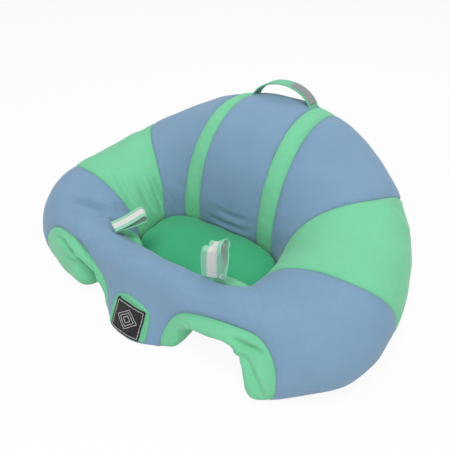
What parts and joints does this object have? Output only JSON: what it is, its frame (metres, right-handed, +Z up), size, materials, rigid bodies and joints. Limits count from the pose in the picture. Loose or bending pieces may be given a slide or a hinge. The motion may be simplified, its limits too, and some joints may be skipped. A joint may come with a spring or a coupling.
{
  "type": "baby floor seat",
  "caption": "Stuffed ring-shaped infant floor seat with a high back, leg openings under the front bar, a padded seat, a carrying handle and ribbon loops for toys.",
  "frame": {"origin": "middle of the footprint's bounding box, on the floor", "axes": "+Z up, +Y towards the high back, -Y towards the leg openings, +X to the sitter's left"},
  "size_m": [0.5828, 0.4367, 0.2483],
  "materials": {
    "blue_fabric": "matte cotton",
    "mint_fabric": "matte cotton",
    "base_fabric": "matte",
    "stuffing": "matte fibre",
    "webbing": "woven",
    "ribbon": "satin",
    "woven_tag": "woven",
    "woven_label": "woven",
    "zip_tape": "woven",
    "zip_metal": "satin"
  },
  "bodies": {
    "root": {"front_cover": "blue_fabric", "left_side_cover": "mint_fabric", "right_side_cover": "mint_fabric", "left_back_cover": "blue_fabric", "centre_back_cover": "blue_fabric", "right_back_cover": "blue_fabric", "left_back_band": "mint_fabric", "right_back_band": "mint_fabric", "left_leg_lining": "mint_fabric", "right_leg_lining": "mint_fabric", "seat_cover": "mint_fabric", "base_cover": "base_fabric", "front_filling": "stuffing", "left_side_filling": "stuffing", "right_side_filling": "stuffing", "back_filling": "stuffing", "seat_filling": "stuffing", "handle_feet": "webbing", "loop_feet": "ribbon", "post_patch": "mint_fabric", "post_label": "woven_label", "zip_tapes": "zip_tape", "zip_coils": "zip_tape", "zip_stops": "zip_metal"},
    "handle": {"handle_strap": "webbing", "handle_tag": "woven_tag"},
    "left_loop": {"left_toy_loop": "ribbon"},
    "right_loop": {"right_toy_loop": "ribbon"},
    "slider": {"zip_slider": "zip_metal"},
    "pull": {"zip_pull": "zip_metal"}
  },
  "joints": [
    {"name": "handle_swing", "type": "hinge", "parent": "root", "child": "handle", "pos_m": [0, 0.15693, 0.23428], "axis": [1, 0, 0], "range_deg": [-70, 70], "stiffness_Nm_per_rad": 0.01},
    {"name": "left_loop_swing", "type": "hinge", "parent": "root", "child": "left_loop", "pos_m": [-0.087, -0.13806, 0.09905], "axis": [0.8988, -0.4384, 0], "range_deg": [-4, 130]},
    {"name": "right_loop_swing", "type": "hinge", "parent": "root", "child": "right_loop", "pos_m": [0.087, -0.13806, 0.09905], "axis": [0.8988, 0.4384, 0], "range_deg": [-70, 60]},
    {"name": "zip_slide", "type": "slide", "parent": "root", "child": "slider", "axis": [1, 0, 0], "range_m": [0, 0.078]},
    {"name": "zip_pull_swing", "type": "hinge", "parent": "slider", "child": "pull", "pos_m": [-0.0361, -0.04561, 0.0014], "axis": [0, 1, 0], "range_deg": [0, 120]}
  ]
}
